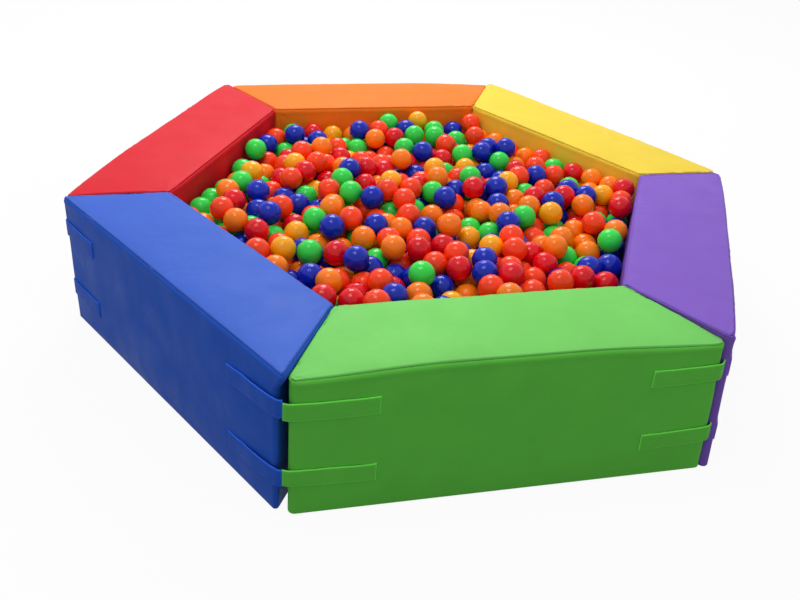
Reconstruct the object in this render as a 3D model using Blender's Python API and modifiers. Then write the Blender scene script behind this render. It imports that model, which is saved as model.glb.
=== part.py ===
"""Foam playpen: a six-sided ring of covered foam blocks, strapped corner to corner and filled with balls.

Frame: metres, +Z up, origin on the floor at the middle of the ring. The green block stands at -Y, and the
others follow anticlockwise seen from above: purple, yellow, orange, red, blue.
"""

import math

import bmesh
import bpy
from mathutils import Matrix, Vector

# The ring
SIDE = 1.0
HEIGHT = 0.390
WALL = 0.244
CORNERS = 6
MITRE_GAP = 0.0006

# The cover and what fills it
COVER_THICKNESS = 0.003
EDGE_ROUNDING = 0.014
EDGE_STEPS = 2
CROWN = 0.005
CORE_CLEARANCE = 0.0006

# The zip in the underside
ZIP_LENGTH = 0.620
ZIP_SLOT_WIDTH = 0.012
ZIP_CLEARANCE = 0.0003
TAPE_WIDTH = 0.026
TAPE_THICKNESS = 0.0012
TAPE_OVERLAP = 0.010
COIL_WIDTH = 0.0034
COIL_DROP = 0.0015
SLIDER_LENGTH = 0.012
SLIDER_WALL = 0.0016
SLIDER_FLOOR = 0.0007
SLIDER_PARKED_GAP = 0.004
PULL_LENGTH = 0.020
PULL_WIDTH = 0.005
PULL_THICKNESS = 0.0005
PULL_ROOT = 0.002

# The straps, whose heights are those of their centre lines above the floor
STRAP_WIDTH = 0.048
STRAP_THICKNESS = 0.002
STRAP_CLEARANCE = 0.0003
STRAP_HEIGHTS = {"upper": 0.296, "lower": 0.106}
STRAP_LONG = 0.205
STRAP_SHORT = 0.160
STRAP_SETBACK = 0.003
STRAP_STEPS = 5
ANCHOR_LENGTH = 0.014
HOOK_TAPE_THICKNESS = 0.0012
HOOK_TAPE_WIDTH = 0.038
HOOK_TAPE_MARGIN = 0.020

# The ball fill
BALL_DIAMETER = 0.070
BALL_LEVEL = 0.350
BALLS_PER_SIDE = 9
FILL_CLEARANCE = 0.0006
DOME_RING = 0.021
HOLLOW_DROP = 0.034

MERGE = 0.00002
SEWN_EDGE_ANGLE = math.radians(30)
SMOOTH_ANGLE = math.radians(35)
TURN = math.tau / CORNERS
HALF_TURN = TURN / 2
APOTHEM = SIDE / 2 / math.tan(HALF_TURN)
INNER_APOTHEM = APOTHEM - WALL

# Grid lines along, through and up a block, as shares of its half length, depth and height
LENGTH_LINES = (-0.8, -0.6, 0.0, 0.6, 0.8)
DEPTH_LINES = (0.25, 0.75)
CORE_LENGTH_LINES = (-0.6, 0.0, 0.6)

BLOCKS = {
    "green": {"turn": 0, "hinge": "right", "parent": "purple", "colour": (0.13, 0.42, 0.05)},
    "purple": {"turn": 1, "hinge": "right", "parent": "yellow", "colour": (0.16, 0.07, 0.38)},
    "yellow": {"turn": 2, "hinge": "right", "parent": "orange", "colour": (0.85, 0.66, 0.03)},
    "orange": {"turn": 3, "hinge": None, "parent": None, "colour": (0.83, 0.20, 0.02)},
    "red": {"turn": 4, "hinge": "left", "parent": "orange", "colour": (0.62, 0.02, 0.03)},
    "blue": {"turn": 5, "hinge": "left", "parent": "red", "colour": (0.03, 0.09, 0.42)},
}
OPEN_CORNER = {"block": "green", "end": "left"}
END_SIGN = {"left": -1, "right": 1}


def material(name, colour, roughness, metallic=0.0):
    """A plain material with one Principled shader."""
    made = bpy.data.materials.new(name)
    made.use_nodes = True
    shader = made.node_tree.nodes["Principled BSDF"]
    shader.inputs["Base Color"].default_value = (*colour, 1.0)
    shader.inputs["Roughness"].default_value = roughness
    shader.inputs["Metallic"].default_value = metallic
    return made


def add_object(name, bm, made_of, parent, location=(0.0, 0.0, 0.0), smooth=True):
    """Put a bmesh in the ring's collection as a named object under its parent empty."""
    mesh = bpy.data.meshes.new(name)
    bm.to_mesh(mesh)
    bm.free()
    if smooth:
        mesh.shade_smooth()
        mesh.set_sharp_from_angle(angle=SMOOTH_ANGLE)
    mesh.materials.append(made_of)
    obj = bpy.data.objects.new(name, mesh)
    ring.objects.link(obj)
    obj.parent = parent
    obj.location = location
    return obj


def add_cutter(name, size, centre, parent, location):
    """A box that a Boolean takes away, kept out of the render."""
    bm = box(size, centre)
    mesh = bpy.data.meshes.new(name)
    bm.to_mesh(mesh)
    bm.free()
    obj = bpy.data.objects.new(name, mesh)
    cutters.objects.link(obj)
    obj.hide_render = True
    obj.display_type = "WIRE"
    obj.parent = parent
    obj.location = location
    return obj


def box(size, centre):
    """A box of a given size about its centre."""
    bm = bmesh.new()
    place = Matrix.Translation(centre) @ Matrix.Diagonal((*size, 1.0))
    bmesh.ops.create_cube(bm, size=1.0, matrix=place)
    return bm


def combine(obj, cutter, operation):
    """A live Boolean on an object."""
    modifier = obj.modifiers.new(cutter.name, "BOOLEAN")
    modifier.operation = operation
    modifier.object = cutter


def crown(share):
    """How much of the crown a place has, from -1 and 1 at the edges to 0 in the middle."""
    return 1.0 - share**4


def half_length(depth, inset=0.0):
    """Half the length of a block at a depth behind its outer face, where the mitres draw it in."""
    mitre = (MITRE_GAP / 2 + inset) / math.cos(HALF_TURN)
    return SIDE / 2 - depth * math.tan(HALF_TURN) - mitre


def face_crown(x, z):
    """How far the cover's crowned outer face stands out at a place along and up the block."""
    along = min(1.0, abs(x) / half_length(0.0))
    return CROWN * crown(along) * crown(z / HEIGHT * 2 - 1)


def height_lines():
    """Grid lines at the edges of both strap rows, as shares of the height."""
    lines = []
    for centre in STRAP_HEIGHTS.values():
        lines.append((centre - STRAP_WIDTH / 2) / HEIGHT)
        lines.append((centre + STRAP_WIDTH / 2) / HEIGHT)
    return sorted(lines)


def split_at(bm, axis, values):
    """Cut the whole mesh by planes square to one axis."""
    for value in values:
        normal = Vector((0.0, 0.0, 0.0))
        normal[axis] = 1.0
        bmesh.ops.bisect_plane(
            bm, geom=bm.verts[:] + bm.edges[:] + bm.faces[:], dist=MERGE, plane_co=normal * value, plane_no=normal
        )


def block_shape(inset, length_lines, depth_lines, up_lines):
    """A mitred block with crowned faces, drawn in all round by the inset, standing on a flat underside.

    X runs along the outer face from its middle, Y into the ring and Z up.
    """
    bm = bmesh.new()
    stretch = Matrix.Translation((0.0, 0.5, 0.5)) @ Matrix.Diagonal((2.0, 1.0, 1.0, 1.0))
    bmesh.ops.create_cube(bm, size=1.0, matrix=stretch)
    split_at(bm, 0, length_lines)
    split_at(bm, 1, depth_lines)
    split_at(bm, 2, up_lines)
    for vert in bm.verts:
        along, through, up = vert.co
        depth = inset + through * (WALL - 2 * inset)
        x = along * half_length(depth, inset)
        z = inset + up * (HEIGHT - 2 * inset)
        swell_along = crown(along)
        swell_up = crown(up * 2 - 1)
        swell_through = crown(through * 2 - 1)
        y = depth
        if through < MERGE:
            y -= CROWN * swell_along * swell_up
        if through > 1 - MERGE:
            y += CROWN * swell_along * swell_up
        if up > 1 - MERGE:
            z += CROWN * swell_along * swell_through
        vert.co = (x, y, z)
    return bm


def round_edges(obj, width):
    """Round the block's twelve sewn edges."""
    bevel = obj.modifiers.new("rounded edges", "BEVEL")
    bevel.width = width
    bevel.segments = EDGE_STEPS
    bevel.limit_method = "ANGLE"
    bevel.angle_limit = SEWN_EDGE_ANGLE


def zip_middle():
    """The place of the zip in the block's own frame: mid length, mid depth, on the floor."""
    return Vector((0.0, WALL / 2, 0.0))


def add_cover(name, made_of, parent, origin):
    """The sewn cover: a shell that is open only at the zip slot in its underside."""
    bm = block_shape(0.0, LENGTH_LINES, DEPTH_LINES, height_lines())
    cover = add_object(f"{name}_cover", bm, made_of, parent, origin)
    round_edges(cover, EDGE_ROUNDING)
    shell = cover.modifiers.new("cover thickness", "SOLIDIFY")
    shell.thickness = COVER_THICKNESS
    shell.offset = -1.0
    shell.use_even_offset = True
    slot = (ZIP_LENGTH, ZIP_SLOT_WIDTH, COVER_THICKNESS * 4)
    combine(cover, add_cutter(f"{name}_zip_slot", slot, zip_middle(), parent, origin), "DIFFERENCE")


def add_core(name, made_of, parent, origin):
    """The foam core, which fills the cover and has a channel over the zip tape."""
    inset = COVER_THICKNESS + CORE_CLEARANCE
    bm = block_shape(inset, CORE_LENGTH_LINES, (), (0.5,))
    core = add_object(f"{name}_foam_core", bm, made_of, parent, origin)
    round_edges(core, EDGE_ROUNDING - inset * math.tan(HALF_TURN))
    room = 2 * ZIP_CLEARANCE
    top = COVER_THICKNESS + ZIP_CLEARANCE + TAPE_THICKNESS + ZIP_CLEARANCE
    channel = (ZIP_LENGTH + 2 * TAPE_OVERLAP + room, TAPE_WIDTH + room, 2 * top)
    combine(core, add_cutter(f"{name}_tape_channel", channel, zip_middle(), parent, origin), "DIFFERENCE")


def profile_along_x(outline, length):
    """A closed outline of (y, z) points drawn out along X, centred on the origin."""
    bm = bmesh.new()
    verts = [bm.verts.new((-length / 2, y, z)) for y, z in outline]
    face = bm.faces.new(verts)
    drawn = bmesh.ops.extrude_face_region(bm, geom=[face], use_keep_orig=True)
    moved = [item for item in drawn["geom"] if isinstance(item, bmesh.types.BMVert)]
    bmesh.ops.translate(bm, verts=moved, vec=(length, 0.0, 0.0))
    bmesh.ops.recalc_face_normals(bm, faces=bm.faces[:])
    return bm


def add_zip(name, tape_material, slider_material, parent, origin):
    """The zip tape inside the slot with its coil, and the slider that runs on the coil."""
    tape_floor = COVER_THICKNESS + ZIP_CLEARANCE
    tape_top = tape_floor + TAPE_THICKNESS
    coil_floor = tape_floor - COIL_DROP
    half_coil = COIL_WIDTH / 2
    middle = origin + zip_middle()
    tape_size = (ZIP_LENGTH + 2 * TAPE_OVERLAP, TAPE_WIDTH, TAPE_THICKNESS)
    bm = box(tape_size, (0.0, 0.0, (tape_floor + tape_top) / 2))
    tape = add_object(f"{name}_zip_tape", bm, tape_material, parent, middle, smooth=False)
    coil_top = (tape_floor + tape_top) / 2
    coil_size = (ZIP_LENGTH - 2 * ZIP_CLEARANCE, COIL_WIDTH, coil_top - coil_floor)
    coil_middle = (0.0, 0.0, (coil_top + coil_floor) / 2)
    combine(tape, add_cutter(f"{name}_zip_coil", coil_size, coil_middle, parent, middle), "UNION")

    half_groove = half_coil + ZIP_CLEARANCE
    half_slider = half_groove + SLIDER_WALL
    groove_floor = coil_floor - ZIP_CLEARANCE
    slider_floor = groove_floor - SLIDER_FLOOR
    slider_top = tape_floor - ZIP_CLEARANCE
    slider_outline = (
        (-half_slider, slider_floor),
        (half_slider, slider_floor),
        (half_slider, slider_top),
        (half_groove, slider_top),
        (half_groove, groove_floor),
        (-half_groove, groove_floor),
        (-half_groove, slider_top),
        (-half_slider, slider_top),
    )
    bm = profile_along_x(slider_outline, SLIDER_LENGTH)
    parked = Vector((ZIP_LENGTH / 2 - SLIDER_PARKED_GAP - PULL_LENGTH - SLIDER_LENGTH / 2, 0.0, 0.0))
    slider = add_object(f"{name}_zip_slider", bm, slider_material, parent, middle + parked, smooth=False)
    pull_size = (PULL_LENGTH + PULL_ROOT, PULL_WIDTH, PULL_THICKNESS)
    pull_x = SLIDER_LENGTH / 2 + (PULL_LENGTH - PULL_ROOT) / 2
    pull_z = slider_floor + SLIDER_FLOOR / 2
    pull = add_cutter(f"{name}_zip_pull", pull_size, (pull_x, 0.0, pull_z), parent, middle + parked)
    combine(slider, pull, "UNION")


def strip_on_face(start, end, height, width, standoff, thickness, origin_x=0.0):
    """A strip that follows the crowned outer face from one X to another, its back standing off by a gap."""
    bm = bmesh.new()
    steps = max(2, round(STRAP_STEPS * abs(end - start) / STRAP_LONG))
    bmesh.ops.create_grid(bm, x_segments=steps, y_segments=2, size=0.5)
    for vert in bm.verts:
        x = start + (vert.co.x + 0.5) * (end - start)
        z = height + vert.co.y * width
        vert.co = (x, -face_crown(x, z) - standoff, z)
    bmesh.ops.recalc_face_normals(bm, faces=bm.faces[:])
    if bm.faces[:][0].normal.y > 0:
        bmesh.ops.reverse_faces(bm, faces=bm.faces[:])
    drawn = bmesh.ops.extrude_face_region(bm, geom=bm.faces[:], use_keep_orig=True)
    moved = [item for item in drawn["geom"] if isinstance(item, bmesh.types.BMVert)]
    bmesh.ops.translate(bm, verts=moved, vec=(0.0, -thickness, 0.0))
    bmesh.ops.recalc_face_normals(bm, faces=bm.faces[:])
    bmesh.ops.translate(bm, verts=bm.verts[:], vec=(-origin_x, 0.0, 0.0))
    return bm


def strap_length(corner):
    """Straps are long at every other corner, and short between."""
    return STRAP_LONG if corner % 2 == 0 else STRAP_SHORT


def add_fixed_strap(name, row, end, length, made_of, parent, origin):
    """A strap sewn flat on its block, ending just short of the corner it holds."""
    sign = END_SIGN[end]
    tip = sign * (SIDE / 2 - STRAP_SETBACK)
    root = sign * (SIDE / 2 - length)
    bm = strip_on_face(root, tip, STRAP_HEIGHTS[row], STRAP_WIDTH, STRAP_CLEARANCE, STRAP_THICKNESS)
    add_object(f"{name}_strap_{row}_{end}", bm, made_of, parent, origin, smooth=False)


def add_peeling_strap(name, row, end, length, made_of, tape_material, parent, origin):
    """A strap that peels: a sewn anchor, the flap that turns about the seam, and its hook tape."""
    sign = END_SIGN[end]
    height = STRAP_HEIGHTS[row]
    root = sign * (SIDE / 2 - length)
    seam = root + sign * ANCHOR_LENGTH
    tip = sign * (SIDE / 2 - STRAP_SETBACK)
    standoff = STRAP_CLEARANCE + HOOK_TAPE_THICKNESS + STRAP_CLEARANCE
    anchor_end = seam - sign * STRAP_CLEARANCE
    anchor_thickness = standoff + STRAP_THICKNESS - STRAP_CLEARANCE
    bm = strip_on_face(root, anchor_end, height, STRAP_WIDTH, STRAP_CLEARANCE, anchor_thickness)
    add_object(f"{name}_strap_anchor_{row}_{end}", bm, made_of, parent, origin, smooth=False)

    seam_crown = max(face_crown(seam, height + side * STRAP_WIDTH / 2) for side in END_SIGN.values())
    seam_y = -seam_crown - standoff - STRAP_THICKNESS
    hinge = bpy.data.objects.new(f"{name}_{row}_seam", None)
    ring.objects.link(hinge)
    hinge.parent = parent
    hinge.location = origin + Vector((seam, seam_y, 0.0))
    lift = Vector((0.0, -seam_y, 0.0))
    bm = strip_on_face(seam, tip, height, STRAP_WIDTH, standoff, STRAP_THICKNESS, seam)
    add_object(f"{name}_strap_{row}_{end}", bm, made_of, hinge, lift, smooth=False)
    tape_start = seam + sign * HOOK_TAPE_MARGIN
    tape_end = tip - sign * HOOK_TAPE_MARGIN
    bm = strip_on_face(
        tape_start, tape_end, height, HOOK_TAPE_WIDTH, STRAP_CLEARANCE, HOOK_TAPE_THICKNESS, seam
    )
    add_object(f"{name}_hook_tape_{row}_{end}", bm, tape_material, hinge, lift, smooth=False)


def ball_pitch():
    """The spacing that fits the rows of balls between the crowned inner walls."""
    room = INNER_APOTHEM - CROWN - FILL_CLEARANCE
    rows = BALLS_PER_SIDE * math.sin(TURN) + 1 / (2 * math.cos(HALF_TURN))
    return room / rows


def add_ball_fill(made_of, parent):
    """The balls as one solid: a domed top, one dome to a ball, over straight sides down to the floor."""
    pitch = ball_pitch()
    cell_radius = pitch / (2 * math.cos(HALF_TURN))
    bm = bmesh.new()
    centres = []
    for row in range(-BALLS_PER_SIDE, BALLS_PER_SIDE + 1):
        count = 2 * BALLS_PER_SIDE + 1 - abs(row)
        for step in range(count):
            centres.append(((step - (count - 1) / 2) * pitch, row * pitch * math.sin(TURN)))
    for x, y in centres:
        place = Matrix.Translation((x, y, 0.0))
        made = bmesh.ops.create_circle(bm, cap_ends=True, segments=CORNERS, radius=cell_radius, matrix=place)
        face = made["verts"][0].link_faces[0]
        edge_gap = (cell_radius - DOME_RING) * math.cos(HALF_TURN)
        bmesh.ops.inset_individual(bm, faces=[face], thickness=edge_gap)
        bmesh.ops.poke(bm, faces=[face])
    bmesh.ops.remove_doubles(bm, verts=bm.verts[:], dist=MERGE)
    edge = bmesh.ops.extrude_edge_only(bm, edges=[e for e in bm.edges if e.is_boundary])
    walls = [item for item in edge["geom"] if isinstance(item, bmesh.types.BMVert)]
    rim = [item for item in edge["geom"] if isinstance(item, bmesh.types.BMEdge) and item.is_boundary]
    floor = set(walls)
    nearest = {}
    for vert in bm.verts:
        if vert not in floor:
            nearest[vert] = min((vert.co.x - x) ** 2 + (vert.co.y - y) ** 2 for x, y in centres) ** 0.5
    for vert, reach in nearest.items():
        radius = BALL_DIAMETER / 2
        drop = HOLLOW_DROP
        if reach < (DOME_RING + cell_radius) / 2:
            drop = radius - math.sqrt(radius**2 - reach**2)
        vert.co.z = BALL_LEVEL - drop
    bmesh.ops.contextual_create(bm, geom=rim)
    bmesh.ops.recalc_face_normals(bm, faces=bm.faces[:])
    add_object("ball_fill", bm, made_of, parent)


def block_to_world(turn):
    """Where a block's own frame stands in the ring: the middle of its outer face, on the floor."""
    return Matrix.Rotation(turn * TURN, 4, "Z") @ Matrix.Translation((0.0, -APOTHEM, 0.0))


def add_block(name, facts, pivots, shared):
    """One block with everything that is sewn or zipped to it, under an empty on its hinge."""
    end = facts["hinge"] or "left"
    corner = Vector((END_SIGN[end] * SIDE / 2, 0.0, 0.0))
    world = block_to_world(facts["turn"]) @ Matrix.Translation(corner)
    pivot = bpy.data.objects.new(f"{name}_pivot", None)
    ring.objects.link(pivot)
    if facts["parent"]:
        pivot.parent = pivots[facts["parent"]]["empty"]
        pivot.matrix_parent_inverse = pivots[facts["parent"]]["world"].inverted()
    pivot.matrix_basis = world
    pivots[name] = {"empty": pivot, "world": world}
    origin = -corner
    cloth = material(f"{name} coated fabric", facts["colour"], 0.42)
    add_cover(name, cloth, pivot, origin)
    add_core(name, shared["foam"], pivot, origin)
    add_zip(name, shared["zip tape"], shared["zip slider"], pivot, origin)
    for row in STRAP_HEIGHTS:
        for side_end, corner_number in (("left", facts["turn"]), ("right", facts["turn"] + 1)):
            length = strap_length(corner_number)
            if name == OPEN_CORNER["block"] and side_end == OPEN_CORNER["end"]:
                add_peeling_strap(name, row, side_end, length, cloth, shared["hook tape"], pivot, origin)
            else:
                add_fixed_strap(name, row, side_end, length, cloth, pivot, origin)


def add_ring():
    """All six blocks, parents before children, and the balls between them."""
    shared = {
        "foam": material("foam", (0.80, 0.76, 0.62), 0.9),
        "zip tape": material("zip tape", (0.05, 0.05, 0.05), 0.8),
        "zip slider": material("zip slider metal", (0.55, 0.55, 0.57), 0.3, 1.0),
        "hook tape": material("hook tape", (0.03, 0.03, 0.03), 0.9),
    }
    pivots = {}
    waiting = dict(BLOCKS)
    while waiting:
        for name, facts in list(waiting.items()):
            if facts["parent"] is None or facts["parent"] in pivots:
                add_block(name, facts, pivots, shared)
                del waiting[name]
    middle = bpy.data.objects.new("ring_middle", None)
    ring.objects.link(middle)
    add_ball_fill(material("ball plastic", (0.75, 0.10, 0.03), 0.25), middle)


for old in list(bpy.data.objects):
    bpy.data.objects.remove(old)
ring = bpy.data.collections.new("foam playpen")
cutters = bpy.data.collections.new("cutters")
bpy.context.scene.collection.children.link(ring)
bpy.context.scene.collection.children.link(cutters)
add_ring()
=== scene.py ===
"""Foam playpen: the looks of a six-sided soft play ring and its balls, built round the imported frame.

Metres, +Z up, origin on the floor at the middle of the ring. A block's own frame has X along its outer face
from the middle (to the right as seen from outside), Y into the ring and Z up.
"""

import math

import bmesh
import bpy
import numpy as np
from bpy.props import FloatProperty, FloatVectorProperty, IntProperty, PointerProperty
from mathutils import Matrix, Vector


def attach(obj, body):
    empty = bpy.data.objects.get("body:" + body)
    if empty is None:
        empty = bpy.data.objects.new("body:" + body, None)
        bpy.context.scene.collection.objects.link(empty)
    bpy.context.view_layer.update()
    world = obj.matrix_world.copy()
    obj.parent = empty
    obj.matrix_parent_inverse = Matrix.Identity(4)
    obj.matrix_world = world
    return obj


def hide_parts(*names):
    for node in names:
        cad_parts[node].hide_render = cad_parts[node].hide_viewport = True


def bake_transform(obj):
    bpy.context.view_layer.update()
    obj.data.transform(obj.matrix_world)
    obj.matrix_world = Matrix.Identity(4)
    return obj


bl_info = {
    "name": "Foam playpen",
    "version": (1, 0, 0),
    "blender": (4, 5, 0),
    "location": "View3D > Sidebar > Playpen",
    "description": "Covers, straps, zips, foam and balls of a six-sided soft play ring",
    "category": "Object",
}

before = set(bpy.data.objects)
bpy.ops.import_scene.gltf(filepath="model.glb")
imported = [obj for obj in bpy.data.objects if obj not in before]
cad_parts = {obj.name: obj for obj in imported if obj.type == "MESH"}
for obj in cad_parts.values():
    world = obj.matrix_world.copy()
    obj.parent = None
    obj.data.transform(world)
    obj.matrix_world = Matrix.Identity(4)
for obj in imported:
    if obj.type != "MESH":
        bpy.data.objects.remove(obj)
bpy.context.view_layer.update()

# The ring, in the sizes of its CAD source
SIDE = 1.0
HEIGHT = 0.390
WALL = 0.244
TURN = math.tau / 6
HALF_TURN = TURN / 2
APOTHEM = SIDE / 2 / math.tan(HALF_TURN)
MITRE_GAP = 0.0006
END_X = SIDE / 2 - MITRE_GAP / 2 / math.cos(HALF_TURN)
CROWN = 0.005
COVER_THICKNESS = 0.003
CORE_INSET = 0.0065
ZIP_LENGTH = 0.620
ZIP_SLOT_WIDTH = 0.012
STRAP_WIDTH = 0.048
STRAP_HEIGHTS = {"upper": 0.296, "lower": 0.106}
STRAP_LONG = 0.205
STRAP_SHORT = 0.160
ANCHOR_LENGTH = 0.014
BLOCKS = {"green": 0, "purple": 1, "yellow": 2, "orange": 3, "red": 4, "blue": 5}
END_SIGN = {"left": -1, "right": 1}

# Distances under this count as none
EXACT = 1e-6

# How a cover rolls over at its top edges: from the seam on top (metres in) to the plain side (metres down).
# Some mitred ends are softer than the rest, and one is tighter.
ROLLS = {
    "outer": (0.0052, 0.015),
    "inner": (0.0048, 0.014),
    "mitre": (0.0030, 0.008),
    "soft": (0.0075, 0.017),
    "tight": (0.0016, 0.003),
}
MITRES = {
    ("orange", "right"): "soft",
    ("red", "right"): "soft",
    ("blue", "right"): "soft",
    ("purple", "left"): "tight",
}
FOOT = (0.0020, 0.0040)
ROLL_SQUARENESS = 1.6
CORNER_RADIUS = 0.015
OTHER_CORNERS = {
    ("purple", "left"): 0.014,
    ("purple", "right"): 0.020,
    ("red", "left"): 0.018,
    ("red", "right"): 0.010,
    ("blue", "left"): 0.005,
    ("blue", "right"): 0.009,
}
SIDE_BLEND = 0.005

# Where a cover's cloth is uneven: how far apart its puckers and slow waves are, how far each kind reaches,
# and from which downward slope the cloth lies flat on the floor
LIES_FLAT = -0.2
SEAM_DRAW_REACH = 0.010
ROLL_BULGE = 1.8
PUCKER_SPACING = 0.026
PUCKER_PATCHES = 0.30
PUCKER_REACH = 0.024
CREASE_INSET = 0.012
CREASE_REACH = 0.042
CREASE_ANGLE = 0.75
MITRE_UNEVENNESS = 0.15
SLOW_WAVES = ((0.24, 0.7), (0.10, 0.3))

# Distances of a cover's grid lines from its edges: by the seams on top, below the rim and above the floor
BY_SEAM = (
    *(0, 0.0008, 0.0016, 0.0023, 0.003, 0.0037, 0.0044, 0.0051, 0.0058, 0.0066, 0.0075, 0.0084),
    *(0.0098, 0.012, 0.015, 0.019, 0.024, 0.031, 0.04),
)
BELOW_RIM = (0, 0.0012, 0.0026, 0.0042, 0.006, 0.008, 0.0105, 0.0135, 0.017, 0.021, 0.027, 0.036)
ABOVE_FLOOR = (0, 0.0012, 0.0026, 0.0042, 0.008, 0.014, 0.023)
END_STRETCH = 0.04

# How the ends of the real blocks stand off the regular hexagon, in metres: the outer face pushed out along
# the mitre at the top and at the floor, the end longer at the top and at the floor, and the top lower
STANCE = {
    ("green", "left"): (0.0, 0.0, 0.006, 0.006, 0.017),
    ("green", "right"): (0.011, 0.012, 0.004, 0.032, 0.013),
    ("purple", "left"): (0.021, 0.053, -0.006, -0.024, -0.002),
    ("purple", "right"): (0.004, 0.004, 0.0, 0.0, 0.002),
    ("yellow", "left"): (0.0, 0.0, 0.0, 0.0, 0.004),
    ("yellow", "right"): (0.0, 0.0, 0.0, 0.0, -0.004),
    ("orange", "left"): (0.0, 0.0, 0.0, 0.0, 0.006),
    ("orange", "right"): (0.0, 0.0, 0.0, 0.0, -0.002),
    ("red", "left"): (0.016, 0.008, 0.0, 0.0, -0.007),
    ("red", "right"): (0.0, 0.0, 0.0, 0.0, 0.003),
    ("blue", "left"): (0.000, -0.005, 0.003, 0.003, 0.002),
    ("blue", "right"): (0.013, 0.013, -0.007, -0.005, 0.0),
}
SHORT_BELOW_RIM = {("blue", "right"): 0.022}

# Where along a block its stance starts and over what length it grows; the same for an end that is short, and
# for how far below the rim
STANCE_FROM = (0.15, 0.35)
SHORT_FROM = (0.25, 0.25)
SHORT_DOWN = (0.010, 0.050)
# How far round the zip the cover stays where it is, in height and in depth
ZIP_HOLD = (0.040, 0.035)

# How far the padding pushes the middle of a block's outer edge out and up
BELLY = {"red": (0.005, 0.008), "orange": (0.0, 0.005), "yellow": (0.0, 0.003), "purple": (0.008, 0.0)}

# The straps that reach over a corner, with the block that they reach. The other straps end under them.
OVER_STRAPS = {
    ("green", "left"): "blue",
    ("green", "right"): "purple",
    ("purple", "right"): "yellow",
    ("yellow", "right"): "orange",
    ("red", "left"): "orange",
    ("blue", "left"): "red",
}
OPEN_CORNER = ("green", "left")


def linear(hex_colour):
    """An sRGB hex colour as linear red, green, blue and alpha."""
    channels = [int(hex_colour[place : place + 2], 16) / 255 for place in (1, 3, 5)]
    return (*[c / 12.92 if c <= 0.04045 else ((c + 0.055) / 1.055) ** 2.4 for c in channels], 1.0)


def smoothstep(values):
    """A smooth rise from 0 to 1."""
    share = np.clip(values, 0.0, 1.0)
    return share * share * (3 - 2 * share)


def ripple(points, seed, spacing, waves=7):
    """A smooth random field of about unit height: sine waves of one rough spacing in random directions."""
    rng = np.random.default_rng(seed)
    total = np.zeros(len(points))
    for _ in range(waves):
        direction = rng.normal(size=points.shape[1])
        direction /= np.linalg.norm(direction)
        length = spacing * rng.uniform(0.7, 1.5)
        total += np.sin(points @ direction * (math.tau / length) + rng.uniform(0, math.tau))
    return total / math.sqrt(waves)


def to_world(block, points):
    """Points of a block's own frame, placed in the ring."""
    turn = Matrix.Rotation(BLOCKS[block] * TURN, 3, "Z")
    return (points + np.array((0.0, -APOTHEM, 0.0))) @ np.array(turn).T


def spaced(span, step, near_start, near_end):
    """Places along a span: close together by its ends, and evenly spaced between."""
    start = near_start[-1]
    room = span - start - near_end[-1]
    count = max(1, round(room / step))
    between = [start + room * place / count for place in range(1, count)]
    return np.array([*near_start, *between, *(span - place for place in reversed(near_end))])


def grid_box(lines):
    """A closed box cut into a grid, and its vertices' places on the given lines of each axis."""
    bm = bmesh.new()
    bmesh.ops.create_cube(bm, size=1.0, matrix=Matrix.Translation((0.5, 0.5, 0.5)))
    for axis, places in enumerate(lines):
        along = [e for e in bm.edges if abs(e.verts[0].co[axis] - e.verts[1].co[axis]) > 0.5]
        if len(places) > 2:
            bmesh.ops.subdivide_edges(bm, edges=along, cuts=len(places) - 2, use_grid_fill=True)
    unit = np.array([vert.co for vert in bm.verts])
    placed = np.empty_like(unit)
    for axis, places in enumerate(lines):
        index = np.rint(unit[:, axis] * (len(places) - 1)).astype(int)
        placed[:, axis] = np.asarray(places)[index]
    return bm, placed


def set_places(bm, points):
    """Move a bmesh's vertices to the given places."""
    for vert, point in zip(bm.verts, points):
        vert.co = point


def as_mesh(name, bm):
    """Turn a bmesh into a mesh."""
    mesh = bpy.data.meshes.new(name)
    bm.to_mesh(mesh)
    bm.free()
    return mesh


def finish_piece(name, bm, materials, smooth_angle=None):
    """Make a bmesh a finished object at the origin, with smooth faces."""
    mesh = as_mesh(name, bm)
    mesh.shade_smooth()
    if smooth_angle:
        mesh.set_sharp_from_angle(angle=math.radians(smooth_angle))
    for material in materials:
        mesh.materials.append(material)
    piece = bpy.data.objects.new(name, mesh)
    bpy.context.scene.collection.objects.link(piece)
    return piece


def place_vertices(piece, points):
    """Move a piece's vertices to the given places."""
    piece.data.vertices.foreach_set("co", points.astype(np.float32).ravel())
    piece.data.update()


def carry(piece, name, values):
    """Give a piece's vertices a value each, for its material."""
    carried = piece.data.attributes.new(name, "FLOAT", "POINT")
    carried.data.foreach_set("value", values.astype(np.float32))


def mitre_end(depth):
    """Where a block's mitred end stands at a depth behind its outer face."""
    return END_X - depth * math.tan(HALF_TURN)


def flat_places(lines_placed):
    """The sharp-edged block: X lines keep their distance from the mitred ends and spread between them."""
    x, y, z = lines_placed.T
    from_end = END_X - np.abs(x)
    spread = smoothstep((from_end - END_STRETCH) / (END_X - END_STRETCH))
    end = mitre_end(y)
    drawn = end - from_end + (END_X - end) * spread
    return np.stack([np.sign(x) * drawn, y, z], axis=1)


def nearest_inside(points, outline):
    """The nearest place to each point in a convex outline, whose corners run anticlockwise."""
    best = points.copy()
    gap = np.full(len(points), np.inf)
    inside = np.ones(len(points), bool)
    for start, end in zip(outline, np.roll(outline, -1, axis=0)):
        along = end - start
        share = np.clip(((points - start) @ along) / (along @ along), 0, 1)
        place = start + share[:, None] * along
        distance = np.linalg.norm(points - place, axis=1)
        closer = distance < gap
        best[closer] = place[closer]
        gap[closer] = distance[closer]
        away = points - start
        inside &= along[0] * away[:, 1] - along[1] * away[:, 0] >= -1e-9
    best[inside] = points[inside]
    return best


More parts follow.
